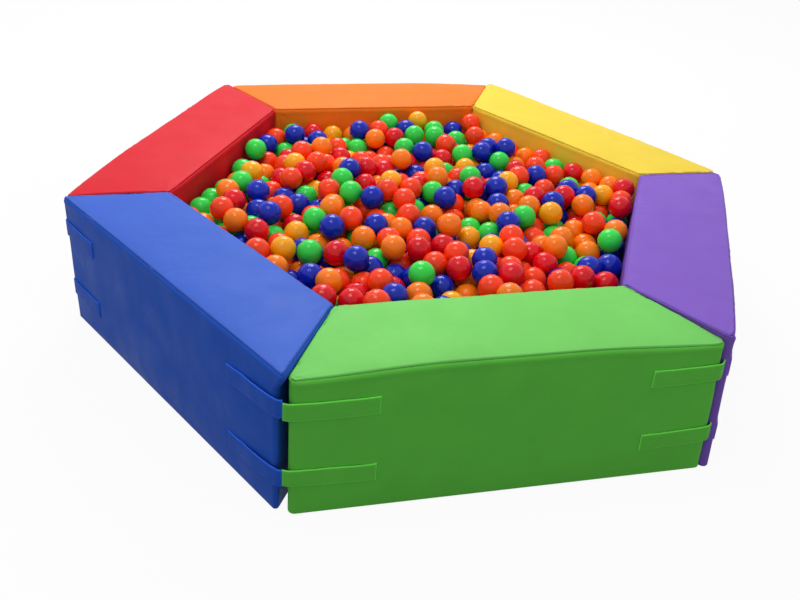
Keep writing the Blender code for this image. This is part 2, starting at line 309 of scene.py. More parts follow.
def corner_radii(block, flat):
    """How round the upright corner on each point's end of the block is."""
    left, right = (OTHER_CORNERS.get((block, end), CORNER_RADIUS) for end in END_SIGN)
    return np.where(flat[:, 0] < 0, left, right)


def inset_outline(inset):
    """The block's floor plan drawn in by an inset."""
    back = WALL - inset
    slope = math.cos(HALF_TURN)
    outer = mitre_end(inset) - inset / slope
    inner = mitre_end(back) - inset / slope
    return np.array([(-outer, inset), (outer, inset), (inner, back), (-inner, back)])


def edge_distances(flat):
    """How far each point of the block is from its outer, inner, left and right sides."""
    x, y, _ = flat.T
    slope = math.cos(HALF_TURN)
    return np.stack([y, WALL - y, (x + mitre_end(y)) * slope, (mitre_end(y) - x) * slope], axis=1)


def crown(share):
    """How much of the crown a place has, from -1 and 1 at the edges to 0 in the middle."""
    return 1.0 - np.clip(np.abs(share), 0, 1) ** 4


def rolls_at(block, flat):
    """How far in and down the edge nearest to each point rolls over, blended where two edges meet."""
    kinds = ["outer", "inner"]
    kinds += [MITRES.get((block, end), "mitre") for end in END_SIGN]
    sides = edge_distances(flat)
    weights = np.exp(-(sides - sides.min(axis=1, keepdims=True)) / SIDE_BLEND)
    weights /= weights.sum(axis=1, keepdims=True)
    inward, down = (weights @ np.array([ROLLS[kind] for kind in kinds])).T
    low = flat[:, 2] < HEIGHT / 2
    return np.where(low, FOOT[0], inward), np.where(low, FOOT[1], down)


def rounded(block, flat):
    """Round a block's edges: the new places and the outward directions there."""
    inward, down = rolls_at(block, flat)
    depth = edge_distances(flat).min(axis=1)
    from_end = np.minimum(flat[:, 2], HEIGHT - flat[:, 2])
    side_share = np.clip(1 - depth / inward, 0, 1)
    end_share = np.clip(1 - from_end / down, 0, 1)
    size = (side_share**ROLL_SQUARENESS + end_share**ROLL_SQUARENESS) ** (1 / ROLL_SQUARENESS)
    in_roll = (side_share > 0) & (end_share > 0)
    size = np.where(in_roll, size, 1.0)
    depth = np.where(in_roll, inward * (1 - side_share / size), depth)
    from_end = np.where(in_roll, down * (1 - end_share / size), from_end)

    radius = corner_radii(block, flat)
    core = np.empty_like(flat[:, :2])
    for size_of_corner in set(radius):
        here = radius == size_of_corner
        core[here] = nearest_inside(flat[here, :2], inset_outline(size_of_corner))
    away = flat[:, :2] - core
    reach = np.linalg.norm(away, axis=1)
    outward = away / np.maximum(reach, 1e-9)[:, None]
    upward = np.where(flat[:, 2] < HEIGHT / 2, -1.0, 1.0)
    placed = np.empty_like(flat)
    rim = (reach > 1e-9)[:, None]
    placed[:, :2] = np.where(rim, core + outward * (radius - depth)[:, None], flat[:, :2])
    placed[:, 2] = np.where(upward > 0, HEIGHT - from_end, from_end)

    tilt_out = np.where(in_roll, (side_share / size) ** (ROLL_SQUARENESS - 1) / inward, side_share >= 1.0)
    tilt_up = np.where(in_roll, (end_share / size) ** (ROLL_SQUARENESS - 1) / down, side_share < 1.0)
    normal = np.concatenate([outward * tilt_out[:, None], (upward * tilt_up)[:, None]], axis=1)
    normal /= np.maximum(np.linalg.norm(normal, axis=1), 1e-9)[:, None]
    return placed, normal


def cover_relief(block, flat, normal, sizes):
    """How far the cloth stands off the plain rounded block: crown, seams, puckers and slow unevenness."""
    seed = 100 * (BLOCKS[block] + 1)
    sides = edge_distances(flat)
    seam_inset, roll_down = rolls_at(block, flat)
    x, y, z = flat.T
    below = HEIGHT - z
    along = x / mitre_end(y)
    up = z / HEIGHT * 2 - 1
    through = y / WALL * 2 - 1
    outer, inner = (y < EXACT), (y > WALL - EXACT)
    top = (below < EXACT) & (z > 0)
    relief = np.zeros(len(flat))
    relief += np.where(outer | inner, CROWN * crown(along) * crown(up), 0.0)
    relief += np.where(top, CROWN * crown(along) * crown(through), 0.0)

    nearest = sides.min(axis=1)
    from_seam = np.where(top, nearest, below)
    relief -= sizes.seam_depth * np.exp(-((from_seam / sizes.seam_width) ** 2))
    relief -= sizes.seam_draw * np.exp(-nearest / SEAM_DRAW_REACH) * top
    roll = np.clip(below / (roll_down * ROLL_BULGE), 0, 1)
    relief += sizes.rim_roll * np.sin(roll * math.pi) ** 2 * ~top

    runs = (x, x, y, y)
    for number, run in enumerate(runs):
        gap = sides[:, number] + below - seam_inset
        by_edge = np.exp(-((gap / PUCKER_REACH) ** 2))
        line = np.stack([run, np.zeros_like(run)], axis=1)
        patches = 0.55 + 0.45 * ripple(line, seed + 40 + number, PUCKER_PATCHES, 3)
        relief += sizes.pucker * by_edge * (ripple(line, seed + number, PUCKER_SPACING) * patches)
    for sign in (-1, 1):
        for depth in (0.0, WALL):
            inside = CREASE_INSET if depth == 0 else -CREASE_INSET
            apart = flat - (sign * (mitre_end(depth) - CREASE_INSET), depth + inside, HEIGHT)
            away = np.linalg.norm(apart, axis=1)
            bearing = np.arctan2(apart[:, 1] + apart[:, 2], apart[:, 0])
            folds = ripple(bearing[:, None], seed + 60 + sign + int(depth * 10), CREASE_ANGLE, 4)
            reach = np.exp(-((away / CREASE_REACH) ** 2)) * smoothstep(away / CREASE_INSET)
            relief += sizes.corner_crease * reach * folds

    free = np.where(normal[:, 2] < LIES_FLAT, 0.0, 1.0)
    at_mitre = np.minimum(sides[:, 2], sides[:, 3]) < EXACT
    free = np.where(at_mitre & ~top, MITRE_UNEVENNESS, free)
    slow = sum(ripple(flat, seed + 80 + n, apart) * share for n, (apart, share) in enumerate(SLOW_WAVES))
    return relief + sizes.unevenness * slow * free


def warp(block, points):
    """Move points of a block off the regular hexagon as the real block stands, but for the zip."""
    moved = points.copy()
    high = np.clip(points[:, 2] / HEIGHT, 0, 1)
    outer_share = 1 - np.clip(points[:, 1] / WALL, 0, 1)
    belly_out, belly_up = BELLY.get(block, (0.0, 0.0))
    belly = crown(points[:, 0] / END_X) * high * outer_share
    moved[:, 1] -= belly_out * belly
    moved[:, 2] += belly_up * belly
    for end, sign in END_SIGN.items():
        out_top, out_floor, longer_top, longer_floor, lower = STANCE[(block, end)]
        share = np.clip((1 + sign * points[:, 0] / END_X) / 2, 0, 1)
        push = (out_floor + (out_top - out_floor) * high) * share * outer_share
        near = smoothstep((sign * points[:, 0] - STANCE_FROM[0]) / STANCE_FROM[1])
        longer = (longer_floor + (longer_top - longer_floor) * high) * near
        moved[:, 0] += sign * (math.sin(HALF_TURN) * push + longer)
        moved[:, 1] -= math.cos(HALF_TURN) * push
        moved[:, 2] -= lower * near * high * outer_share
    by_zip = np.exp(-((points[:, 2] / ZIP_HOLD[0]) ** 2) - ((points[:, 1] - WALL / 2) / ZIP_HOLD[1]) ** 2)
    return moved + (points - moved) * by_zip[:, None]


def shortened(block, points):
    """Draw in the mitred ends that stand back below their rim."""
    moved = points.copy()
    for end, sign in END_SIGN.items():
        short = SHORT_BELOW_RIM.get((block, end), 0.0)
        near = smoothstep((sign * points[:, 0] - SHORT_FROM[0]) / SHORT_FROM[1])
        low = smoothstep((HEIGHT - SHORT_DOWN[0] - points[:, 2]) / SHORT_DOWN[1])
        moved[:, 0] -= sign * short * near * low
    return moved


def cover_places(block, flat, sizes):
    """Where points of the sharp-edged block come to lie on its sewn cover, in the block's own frame."""
    placed, normal = rounded(block, flat)
    relief = cover_relief(block, flat, normal, sizes)
    placed = shortened(block, placed + normal * relief[:, None])
    placed[:, 2] = np.maximum(placed[:, 2], 0.0)
    return placed


def add_node(tree, kind, links=None, **settings):
    """Add a node: its settings by name, and its inputs by name or number from a value or another socket."""
    node = tree.nodes.new(kind)
    for name, value in settings.items():
        setattr(node, name, value)
    for name, value in (links or {}).items():
        if isinstance(value, bpy.types.NodeSocket):
            tree.links.new(value, node.inputs[name])
        else:
            node.inputs[name].default_value = value
    return node


def new_material(name):
    """An empty material, its node tree and its object coordinates."""
    material = bpy.data.materials.new(name)
    material.use_nodes = True
    tree = material.node_tree
    tree.nodes.clear()
    return material, tree, add_node(tree, "ShaderNodeTexCoord").outputs["Object"]


def output_surface(tree, kind, links):
    """Send a shader to the material's output."""
    add_node(tree, "ShaderNodeOutputMaterial", {"Surface": add_node(tree, kind, links).outputs[0]})


def principled(material, links):
    """Give a material a principled shader, and hand the material back."""
    output_surface(material.node_tree, "ShaderNodeBsdfPrincipled", links)
    return material


def calculated(tree, operation, first, second=0.0):
    """A sum, product or the like of two values."""
    return add_node(tree, "ShaderNodeMath", {0: first, 1: second}, operation=operation).outputs[0]


def mixed_colour(tree, share, first, second):
    """The first colour with a share of the second."""
    return add_node(tree, "ShaderNodeMix", {0: share, 6: first, 7: second}, data_type="RGBA").outputs[2]


def attribute(tree, name):
    """A value that the mesh carries."""
    return add_node(tree, "ShaderNodeAttribute", attribute_name=name).outputs["Fac"]


def noise(tree, coords, spacing, detail=2.0, roughness=0.5):
    """Noise whose lumps are about the given spacing apart, in metres."""
    links = {"Vector": coords, "Scale": 1 / spacing, "Detail": detail, "Roughness": roughness}
    return add_node(tree, "ShaderNodeTexNoise", links).outputs["Fac"]


def ramp(tree, value, low, high, start=0.0, end=1.0):
    """A value mapped from one range to another."""
    links = {"Value": value, "From Min": start, "From Max": end, "To Min": low, "To Max": high}
    return add_node(tree, "ShaderNodeMapRange", links).outputs["Result"]


def bumped(tree, height, distance, normal=None, strength=1.0):
    """A bump of a real height in metres, over another bump if one is given."""
    links = {"Height": height, "Distance": distance, "Strength": strength}
    if normal:
        links["Normal"] = normal
    return add_node(tree, "ShaderNodeBump", links).outputs["Normal"]


def shaded(tree, colour, value):
    """A colour made darker or lighter by a value."""
    links = {"Color": colour, "Value": value}
    return add_node(tree, "ShaderNodeHueSaturation", links).outputs["Color"]


def vinyl(name, colour, edge_highlight=False, top_sheen=0.0):
    """PVC-coated polyester, calendered smooth: satin, with a fine embossed grain and slow unevenness.

    The real grain is under 1 mm and would not show, so it is drawn 2.5 mm wide and very shallow.
    One with an edge highlight is paler along its folded edges: a painted highlight where the folds catch
    light.
    One with a top sheen is mixed towards white on its top: a painted sheen of the light from above.
    """
    material, tree, coords = new_material(name)
    patches = ramp(tree, noise(tree, coords, 0.11, 3.0), 0.955, 1.045, 0.25, 0.75)
    base = shaded(tree, colour, patches)
    # Painted highlight: up to 1.7 times lighter within 3.6 mm of a folded edge, for the light that the folds
    # catch
    if edge_highlight:
        base = shaded(tree, base, ramp(tree, attribute(tree, "from_edge"), 1.7, 1.0, 0.0, 0.0036))
    # Painted sheen: the top is mixed towards white, for the gloss of the light from above
    if top_sheen:
        share = calculated(tree, "MULTIPLY", attribute(tree, "on_top"), top_sheen)
        base = mixed_colour(tree, share, base, linear("#ffffff"))
    grain = noise(tree, coords, 0.0025, 3.0)
    cloth = noise(tree, coords, 0.028, 2.0)
    normal = bumped(tree, cloth, 0.0010, strength=0.8)
    normal = bumped(tree, grain, 0.00007, normal)
    rough = ramp(tree, noise(tree, coords, 0.07, 3.0), 0.38, 0.52, 0.3, 0.7)
    gloss = {"Roughness": rough, "IOR": 1.52, "Specular IOR Level": 0.035}
    return principled(material, {"Base Color": base, "Normal": normal, **gloss})


def ball_plastic(name, colour):
    """Blow-moulded polyethylene: glossy, a little translucent, with a faint seam round the middle."""
    material, tree, coords = new_material(name)
    distance = calculated(tree, "ABSOLUTE", attribute(tree, "from_mould_line"))
    normal = bumped(tree, ramp(tree, distance, 1.0, 0.0, 0.0, 0.0009), 0.0003)
    normal = bumped(tree, noise(tree, coords, 0.016, 1.0), 0.0004, normal)
    base = shaded(tree, colour, ramp(tree, noise(tree, coords, 0.14, 1.0), 0.92, 1.06, 0.3, 0.7))
    links = {
        "Base Color": base,
        "Roughness": 0.15,
        "IOR": 1.51,
        "Specular IOR Level": 0.26,
        "Subsurface Weight": 0.15,
        "Subsurface Radius": (0.012, 0.008, 0.006),
        "Subsurface Scale": 1.0,
        "Normal": normal,
    }
    return principled(material, links)


def thread_material(name, colour):
    """Spun polyester sewing thread: matt, in the cover's colour, and lighter in places."""
    material, tree, coords = new_material(name)
    twist = noise(tree, coords, 0.0012, 1.0)
    normal = bumped(tree, twist, 0.0002)
    base = shaded(tree, colour, ramp(tree, twist, 1.0, 1.35))
    return principled(material, {"Base Color": base, "Roughness": 0.65, "Normal": normal})


def foam_material():
    """Open-cell polyurethane foam, cut from a block: pale and matt, with cells about 1 mm wide."""
    material, tree, coords = new_material("open-cell polyurethane foam")
    links = {"Vector": coords, "Scale": 1 / 0.0012}
    cells = add_node(tree, "ShaderNodeTexVoronoi", links).outputs["Distance"]
    base = shaded(tree, linear("#e6dcb4"), ramp(tree, cells, 0.8, 1.05))
    normal = bumped(tree, cells, 0.0004)
    return principled(material, {"Base Color": base, "Roughness": 0.95, "Normal": normal})


def woven_tape(name, colour, spacing):
    """Woven polyester tape: matt, with its threads crossing at right angles."""
    material, tree, coords = new_material(name)
    threads = []
    for axis in ("X", "Y"):
        links = {"Vector": coords, "Scale": 1 / spacing / 2}
        wave = add_node(tree, "ShaderNodeTexWave", links, bands_direction=axis)
        threads.append(wave.outputs["Fac"])
    weave = calculated(tree, "MAXIMUM", *threads)
    base = shaded(tree, colour, ramp(tree, weave, 0.7, 1.2))
    normal = bumped(tree, weave, 0.0003)
    return principled(material, {"Base Color": base, "Roughness": 0.8, "Normal": normal})


def slider_metal():
    """Die-cast zinc alloy under satin lacquer."""
    material, tree, coords = new_material("lacquered zinc alloy")
    casting = noise(tree, coords, 0.0015, 2.0)
    normal = bumped(tree, casting, 0.00004)
    links = {
        "Base Color": shaded(tree, linear("#b4b4b8"), ramp(tree, casting, 0.9, 1.05)),
        "Metallic": 1.0,
        "Roughness": ramp(tree, casting, 0.28, 0.42),
        "Normal": normal,
    }
    return principled(material, links)


def background_rays(tree):
    """1 for rays that show the white background: the camera's, and those by way of gloss or glass."""
    path = add_node(tree, "ShaderNodeLightPath").outputs
    seen = calculated(tree, "MAXIMUM", path["Is Camera Ray"], path["Is Glossy Ray"])
    return calculated(tree, "MAXIMUM", seen, path["Is Transmission Ray"])


def floor_material(colour, white_share):
    """A grey painted studio floor that the camera sees as white, with the ring's shadow kept."""
    material, tree, coords = new_material("matt studio paint")
    seen = background_rays(tree)
    grey = shaded(tree, colour, ramp(tree, noise(tree, coords, 0.5, 2.0), 0.99, 1.01))
    base = mixed_colour(tree, seen, grey, linear("#f4f4f4"))
    paint = add_node(tree, "ShaderNodeBsdfDiffuse", {"Color": base, "Roughness": 0.5})
    glow = add_node(tree, "ShaderNodeEmission", {"Color": (1, 1, 1, 1), "Strength": 1.0})
    share = calculated(tree, "MULTIPLY", seen, white_share)
    output_surface(tree, "ShaderNodeMixShader", {0: share, 1: paint.outputs[0], 2: glow.outputs[0]})
    return material


def metres(name, description, default):
    """A setting for a length."""
    return FloatProperty(name=name, description=description, default=default, unit="LENGTH")


def amount(name, description, default, **limits):
    """A setting for a power or a plain number."""
    return FloatProperty(name=name, description=description, default=default, **limits)


def tint(name, hex_colour):
    """A setting for a colour."""
    about = f"Colour of the {name.lower()}"
    default = linear(hex_colour)
    return FloatVectorProperty(name=name, description=about, size=4, subtype="COLOR", default=default)


class CoverSizes(bpy.types.PropertyGroup):
    """Sizes of the six covers' cloth."""

    seam_depth: metres("Seam depth", "How deep the seam round the top sinks", 0.0026)
    seam_width: metres("Seam width", "Half the width of the seam's groove", 0.0011)
    seam_draw: metres("Seam draw", "How far the seam draws the top panel down", 0.0012)
    rim_roll: metres("Rim roll", "How far the side panel bulges where it rolls over", 0.0013)
    pucker: metres("Pucker", "Height of the puckers along the seams", 0.0005)
    corner_crease: metres("Corner crease", "Height of the creases at the top corners", 0.0009)
    unevenness: metres("Unevenness", "Height of the slow waves in the panels", 0.0009)
    line_step: metres("Line step", "Spacing of the cloth's grid lines", 0.010)


class StrapSizes(bpy.types.PropertyGroup):
    """Sizes of the straps."""

    thickness: metres("Thickness", "Thickness of the doubled strap", 0.0030)
    fold: metres("Fold", "Width of the folded edges", 0.0030)
    reach: metres("Reach", "How far a strap runs on past its corner", 0.013)
    hem: metres("Hem", "Stitching's distance from the edge", 0.004)
    stitch: metres("Stitch", "Length of one stitch", 0.0034)


class BallSizes(bpy.types.PropertyGroup):
    """Sizes and number of the balls."""

    diameter: metres("Diameter", "Diameter of a ball", 0.070)
    level: metres("Level", "Height to which the balls fill", 0.346)
    heap: metres("Heap", "How far the highest ball may stand above the level", 0.042)
    share: amount("Share", "Share of the room that the balls take up", 0.71)
    seed: IntProperty(name="Seed", description="Start of the random fill", default=11)
    lean: FloatVectorProperty(
        name="Lean",
        description="How much thicker they drop to the right and the back",
        size=2,
        default=(-0.05, 0.12),
    )


class Colours(bpy.types.PropertyGroup):
    """Colours of the covers and the balls."""

    green: tint("Green cover", "#63c849")
    purple: tint("Purple cover", "#7f5ac0")
    yellow: tint("Yellow cover", "#ebcd42")
    orange: tint("Orange cover", "#f07b22")
    red: tint("Red cover", "#d6202e")
    blue: tint("Blue cover", "#2859c4")
    ball_blue: tint("Blue balls", "#0526b4")
    ball_red: tint("Red balls", "#e00a1c")
    ball_coral: tint("Red-orange balls", "#ff4212")
    ball_orange: tint("Orange balls", "#ff7f0c")
    ball_amber: tint("Yellow-orange balls", "#ffac0a")
    ball_green: tint("Green balls", "#32dc4e")


class StageSizes(bpy.types.PropertyGroup):
    """The floor and the light."""

    floor: tint("Floor", "#909090")
    white_share: amount("White share", "How white the camera sees the floor", 0.93, min=0.0, max=1.0)
    lamp: amount("Lamp", "Power of the soft lamp overhead", 30.0, unit="POWER")
    rear_lamp: amount("Rear lamp", "Power of the softbox behind", 85.0, unit="POWER")
    sky: amount("Sky", "Brightness of the studio overhead", 0.58)
    horizon: amount("Horizon", "Brightness of the studio at floor level", 0.58)


# What share of the balls is in each colour
BALL_SHARES = {
    "ball_blue": 0.20,
    "ball_red": 0.16,
    "ball_coral": 0.21,
    "ball_orange": 0.20,
    "ball_amber": 0.06,
    "ball_green": 0.17,
}


def cover_lines(step):
    """The grid lines of a cover on each axis, with the block's middle at X 0."""
    along = spaced(2 * END_X, step, BY_SEAM, BY_SEAM) - END_X
    slot = (WALL / 2 - ZIP_SLOT_WIDTH / 2, WALL / 2 + ZIP_SLOT_WIDTH / 2)
    through = spaced(WALL, step, BY_SEAM, BY_SEAM)
    through = np.array(sorted([*(t for t in through if min(abs(t - s) for s in slot) > step / 3), *slot]))
    up = spaced(HEIGHT, step, ABOVE_FLOOR, BELOW_RIM)
    return along, through, up


def over_zip(face):
    """Whether a face of the sharp-edged block lies where the zip goes, underneath."""
    x, y, z = face.calc_center_median()
    return abs(z) < EXACT and abs(x) < ZIP_LENGTH / 2 and abs(y - WALL / 2) < ZIP_SLOT_WIDTH / 2


def add_cover(block, sizes, material):
    """One sewn cover: a shell of cloth, open only at the zip in its underside."""
    bm, placed = grid_box(cover_lines(sizes.line_step))
    flat = flat_places(placed)
    set_places(bm, flat)
    # The top panel is marked for the painted sheen that its material mixes in
    on_top = bm.verts.layers.float.new("on_top")
    for vert in bm.verts:
        vert[on_top] = float(vert.co.z > HEIGHT - EXACT)
    slot = [face for face in bm.faces if over_zip(face)]
    set_places(bm, to_world(block, warp(block, cover_places(block, flat, sizes))))
    bmesh.ops.delete(bm, geom=slot, context="FACES")
    piece = finish_piece(f"cover_{block}", bm, [material])
    shell = piece.modifiers.new("cloth thickness", "SOLIDIFY")
    shell.thickness = COVER_THICKNESS
    shell.offset = -1.0
    shell.use_even_offset = False
    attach(piece, f"{block}_block")
    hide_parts(f"{block}_cover")


# How far the tops of the covers are mixed towards white: a painted sheen of the light from above
TOP_SHEEN = {"green": 0.07, "blue": 0.037}
PLAIN_TOP_SHEEN = 0.014

# How a foam core's grid lines are spaced, and how high its underside is
CORE_STEP = 0.040
CORE_NEAR = (0, 0.005, 0.012, 0.022)
CORE_FLOOR = 0.0052


def add_core(block, material):
    """One foam core, cut to fill its cover."""
    spans = (2 * END_X, WALL, HEIGHT)
    along, through, up = (spaced(span, CORE_STEP, CORE_NEAR, CORE_NEAR) for span in spans)
    bm, placed = grid_box((along - END_X, through, up))
    places, normal = rounded(block, flat_places(placed))
    places -= normal * CORE_INSET
    places[:, 2] = np.clip(places[:, 2], CORE_FLOOR, HEIGHT - CORE_INSET)
    set_places(bm, to_world(block, warp(block, shortened(block, places))))
    piece = finish_piece(f"foam_core_{block}", bm, [material])
    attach(piece, f"{block}_block")
    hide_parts(f"{block}_foam_core")


# How each strap lies: how far it stands off the cover (at shares of its length to the corner), how much
# lower its sewn end is than its corner, and the bends that take it round (place past it, width, degrees).
# Some straps are sewn on early, end beyond or short of the usual place, or lie higher than the rest.
PLAIN_BEND = ((-0.001, 0.030, 60.0),)
FLAT_LIE = {"stand": ((0, 0.0004), (1, 0.0004)), "rise": 0.0, "extra": -0.020}
STRAP_LIES = {
    ("green", "left"): {
        "stand": ((0, 0.0004), (0.1, 0.0012), (0.8, 0.0018), (1, 0.0030)),
        "rise": 0.007,
        "bends": ((-0.010, 0.016, 28.0),),
        "extra": -0.007,
        "early": -0.006,
        "lift": 0.009,
    },
    ("green", "right"): {
        "stand": ((0, 0.0004), (0.3, 0.0010), (0.8, 0.0026), (1, 0.0030)),
        "rise": 0.010,
        "bends": ((-0.016, 0.016, 46.0),),
        "extra": 0.032,
        "early": 0.021,
        "lift": 0.012,
    },
    ("purple", "left"): FLAT_LIE,
    ("blue", "right"): {
        "stand": ((0, 0.0004), (0.3, 0.0012), (0.55, 0.0045), (0.8, 0.0050), (1, 0.0012)),
        "rise": 0.018,
        "bends": ((-0.014, 0.014, 55.0),),
        "extra": -0.004,
    },
    ("red", "right"): FLAT_LIE,
    ("blue", "left"): {
        "stand": ((0, 0.0004), (0.3, 0.0010), (1, 0.0012)),
        "rise": 0.004,
        "bends": ((-0.006, 0.014, 60.0),),
    },
}
PLAIN_LIE = {"stand": ((0, 0.0004), (0.3, 0.0010), (0.8, 0.0020), (1, 0.0030)), "rise": 0.004}
UNDER_LIE = {"stand": ((0, 0.0004), (0.3, 0.0010), (0.6, 0.0018), (1, 0.0008)), "rise": 0.003}

# A strap's line is traced in small steps to a little past its corner. It follows the cover's relief until it
# is near the corner, has slow waves of its own, and is at its own height at one share of its length.
TRACK_PAST = 0.08
TRACK_POINTS = 1200
COVER_FOLLOWED_TO = 0.035
COVER_FADE = 0.025
STRAP_WAVE = 0.0004
STRAP_WAVE_SPACING = 0.06
STRAP_WAVE_START = 0.05
STRAP_WAVE_ACROSS = 0.4
STRAP_LEVEL_AT = 0.7


def strap_length(block, end):
    """From a strap's sewn end to its corner: straps are long at every other corner, and short between."""
    corner = BLOCKS[block] + (end == "right")
    length = STRAP_LONG if corner % 2 == 0 else STRAP_SHORT
    return length + strap_lie(block, end)[0].get("early", 0.0)


def strap_lie(block, end):
    """How a strap lies, and whether it reaches over its corner."""
    over = (block, end) in OVER_STRAPS
    return STRAP_LIES.get((block, end), PLAIN_LIE if over else UNDER_LIE), over


def strap_places(block, end, row, along, across, out, cover_sizes):
    """Where points of a strap lie in the ring: along from its sewn end, across from its middle, and out."""
    lie, over = strap_lie(block, end)
    length = strap_length(block, end)
    sign = END_SIGN[end]
    fine = np.linspace(0, length + TRACK_PAST, TRACK_POINTS)
    heading = np.zeros_like(fine)
    for place, width, degrees in lie.get("bends", PLAIN_BEND if over else ()):
        heading += math.radians(degrees) * smoothstep((fine - length - place) / width + 0.5)
    step = fine[1] - fine[0]
    track_x = SIDE / 2 - length + np.concatenate([[0], np.cumsum(np.cos(heading[:-1]) * step)])
    track_y = np.concatenate([[0], np.cumsum(np.sin(heading[:-1]) * step)])
    x = np.interp(along, fine, track_x)
    y = np.interp(along, fine, track_y)
    turn = np.interp(along, fine, heading)
    share = along / length
    stand_at, stand_by = zip(*lie["stand"])
    stand = np.interp(share, stand_at, stand_by)
    z = STRAP_HEIGHTS[row] + lie.get("lift", 0.0) + lie["rise"] * (share - STRAP_LEVEL_AT) + across
    face = np.stack([sign * np.minimum(x, END_X - 0.001), np.zeros_like(x), z], axis=1)
    straight = np.tile((0.0, -1.0, 0.0), (len(x), 1))
    relief = cover_relief(block, face, straight, cover_sizes)
    relief = relief * (1 - smoothstep((along - length + COVER_FOLLOWED_TO) / COVER_FADE))
    strip = np.stack([along, across * STRAP_WAVE_ACROSS], axis=1)
    wave = STRAP_WAVE * ripple(strip, 7 * BLOCKS[block] + len(row), STRAP_WAVE_SPACING)
    wave = wave * smoothstep(along / STRAP_WAVE_START)
    offset = relief + stand + np.abs(wave) + out
    places = np.stack([sign * (x + np.sin(turn) * offset), y - np.cos(turn) * offset, z], axis=1)
    return to_world(block, warp(block, places))


# The grid lines along a strip's edges, the spacing of the rest, and how thick the very edge is
BY_FOLD = (0, 0.0003, 0.0007, 0.0012, 0.0018, 0.0025, 0.0033, 0.0040, 0.0046, 0.0056)
STRIP_STEP = 0.005
EDGE_SHARE = 0.22


def strap_grid(length, width, thickness, fold):
    """A flat strip's grid with folded edges: places along, across and out, and their distances in."""
    runs = [spaced(span, STRIP_STEP, BY_FOLD, BY_FOLD) for span in (length, width)]
    bm, placed = grid_box((runs[0], np.array((0.0, 1.0)), runs[1] - width / 2))
    along, side, across = placed.T
    from_edge = np.minimum(np.minimum(along, length - along), width / 2 - np.abs(across))
    bulge = np.sqrt(1 - (1 - np.clip(from_edge / fold, 0, 1)) ** 2)
    out = (1 - side) * thickness * (EDGE_SHARE + (1 - EDGE_SHARE) * bulge)
    return bm, along, across, out, from_edge


def spindle_mesh(material_index):
    """A stitch of unit length and width, as a mesh."""
    bm = bmesh.new()
    bmesh.ops.create_uvsphere(bm, u_segments=6, v_segments=4, radius=1.0)
    for face in bm.faces:
        face.material_index = material_index
    return as_mesh("one stitch", bm)


def stitch_places(shape, starts, ends, out, half_width):
    """The vertices of stitches that run from each start to each end, over the cloth by the way out."""
    run = ends - starts
    length = np.linalg.norm(run, axis=1, keepdims=True)
    along = run / length
    side = np.cross(along, out)
    axes = np.stack([side * half_width, np.cross(along, side) * half_width, run / 2], axis=1)
    return np.einsum("vj,sjk->svk", shape, axes) + ((starts + ends) / 2)[:, None, :]


# How much of a stitch's length shows as thread, half its width, how far it sinks in, and its seam's groove
THREAD_SHARE = 0.8
THREAD_HALF_WIDTH = 0.00030
THREAD_SINK = 0.0001
GROOVE_HALF_WIDTH = 0.0007
GROOVE_DEPTH = 0.0004
# Where the inner seam of a strap's sewn end is, and how far short of its corner a strap stops by itself
END_SEAM = 0.015
SHORT_OF_CORNER = 0.003


def stitch_rows(length, over, sizes):
    """Where a strap's seams start and end (along, across): two hems, and a box at its sewn end."""
    edge = STRAP_WIDTH / 2 - sizes.hem
    rows = [((sizes.hem, sign * edge), (length - sizes.hem, sign * edge)) for sign in (-1, 1)]
    for place in (sizes.hem, END_SEAM):
        rows.append(((place, -edge), (place, edge)))
    if over:
        rows.append(((length - sizes.hem, -edge), (length - sizes.hem, edge)))
    return rows


def strap_stitches(block, end, row, length, sizes, cover_sizes):
    """Where the stitches of a strap start and end, and the way out of the cloth there."""
    starts, ends, rises = [], [], []
    for start, finish in stitch_rows(length, strap_lie(block, end)[1], sizes):
        count = max(2, round(math.dist(start, finish) / sizes.stitch))
        share = np.stack([np.arange(count) / count, (np.arange(count) + THREAD_SHARE) / count]).T.ravel()
        along = start[0] + share * (finish[0] - start[0])
        across = start[1] + share * (finish[1] - start[1])
        top = np.full(len(share), sizes.thickness - THREAD_SINK)
        low = strap_places(block, end, row, along, across, top, cover_sizes)
        high = strap_places(block, end, row, along, across, top + 0.001, cover_sizes)
        starts.append(low[::2])
        ends.append(low[1::2])
        rises.append((high - low)[::2] * 1000)
    return [np.concatenate(part) for part in (starts, ends, rises)]


def add_strap(block, end, row, sizes, cover_sizes, materials):
    """One strap of doubled cloth with its stitching, which goes round the corner if it is on top there."""
    lie, over = strap_lie(block, end)
    length = strap_length(block, end) - SHORT_OF_CORNER + lie.get("extra", 0.0)
    if over:
        length += sizes.reach
    bm, along, across, out, from_edge = strap_grid(length, STRAP_WIDTH, sizes.thickness, sizes.fold)
    seam = np.exp(-(((STRAP_WIDTH / 2 - np.abs(across) - sizes.hem) / GROOVE_HALF_WIDTH) ** 2))
    for place in (sizes.hem, END_SEAM):
        seam = np.maximum(seam, np.exp(-(((along - place) / GROOVE_HALF_WIDTH) ** 2)))
    out = out - GROOVE_DEPTH * seam * (out > sizes.thickness / 2)
    places = strap_places(block, end, row, along, across, out, cover_sizes)
    set_places(bm, places)
    bmesh.ops.recalc_face_normals(bm, faces=bm.faces)

    starts, ends, rises = strap_stitches(block, end, row, length, sizes, cover_sizes)
    spindle = spindle_mesh(1)
    shape = np.array([vert.co for vert in spindle.vertices])
    for _ in starts:
        bm.from_mesh(spindle)
    bpy.data.meshes.remove(spindle)
    sewn = stitch_places(shape, starts, ends, rises, THREAD_HALF_WIDTH)

    piece = finish_piece(f"strap_{block}_{row}_{end}", bm, materials)
    place_vertices(piece, np.concatenate([places, sewn.reshape(-1, 3)]))
    # Each vertex's distance from the strap's edge, for the painted edge highlight; stitches count as far
    # from it
    carry(piece, "from_edge", np.concatenate([from_edge, np.full(sewn.size // 3, 1.0)]))
    return piece


